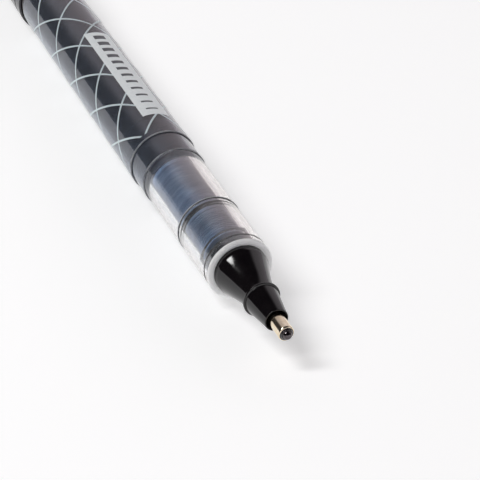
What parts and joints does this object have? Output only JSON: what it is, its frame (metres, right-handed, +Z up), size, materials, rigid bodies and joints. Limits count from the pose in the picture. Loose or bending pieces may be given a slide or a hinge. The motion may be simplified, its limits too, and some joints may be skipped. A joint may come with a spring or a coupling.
{
  "type": "brush pen",
  "caption": "Liquid-ink pen with a broad metal ball tip, clear front sleeve, smoke barrel with a crossing-line print, and a posted cap with a sprung pocket clip.",
  "frame": {"origin": "centre of the pen's footprint on the surface that it lies on, with its cap posted", "axes": "+X along the pen towards the writing ball, +Z up, +Y towards the side that the clip is on"},
  "size_m": [0.1836, 0.015, 0.0128],
  "materials": {
    "ball_metal": "polished, wet with dark ink",
    "tip_metal": "pale gold plating, turned",
    "black_plastic": "gloss black moulding",
    "black_rubber": "smooth seal rubber",
    "clear_plastic": "clear, gloss",
    "comb_plastic": "moulding wet with dark ink",
    "liner_plastic": "natural, slightly waxy",
    "wick_fibre": "bundled fibre soaked with ink",
    "smoke_plastic": "smoke-tinted, gloss, with a pale printed lattice",
    "ink": "dark liquid",
    "cap_plastic": "smoke-dark gloss moulding",
    "pale_print": "screen-printed ink on the barrel",
    "clip_steel": "polished spring steel"
  },
  "bodies": {
    "pen": {"ball_socket": "tip_metal", "tip_holder": "black_plastic", "nose_cone": "black_plastic", "nose_gasket": "black_rubber", "front_sleeve": "clear_plastic", "neck_seal": "black_rubber", "front_collector": "comb_plastic", "collector_seal": "black_rubber", "rear_collector": "comb_plastic", "tank_bung": "comb_plastic", "wick_tube": "liner_plastic", "feed_wick": "wick_fibre", "barrel": "smoke_plastic", "ink_fill": "ink", "tail_plug": "black_plastic", "tail_seal": "black_rubber"},
    "ball": {"writing_ball": "ball_metal"},
    "cap": {"cap_shell": "cap_plastic", "inner_cap": "liner_plastic", "cap_crown": "cap_plastic"},
    "clip": {"clip": "clip_steel"}
  },
  "joints": [
    {"name": "ball_roll", "type": "hinge", "parent": "pen", "child": "ball", "pos_m": [0.09102, -0.00111, 0.0064], "axis": [0, 1, 0], "continuous": true},
    {"name": "cap_pull", "type": "slide", "parent": "pen", "child": "cap", "axis": [-1, 0, 0], "range_m": [0, 0.06]},
    {"name": "clip_spring", "type": "hinge", "parent": "cap", "child": "clip", "pos_m": [-0.08743, 0.00399, 0.00323], "axis": [0, 0.5283, 0.8491], "range_deg": [0, 4], "stiffness_Nm_per_rad": 2}
  ]
}
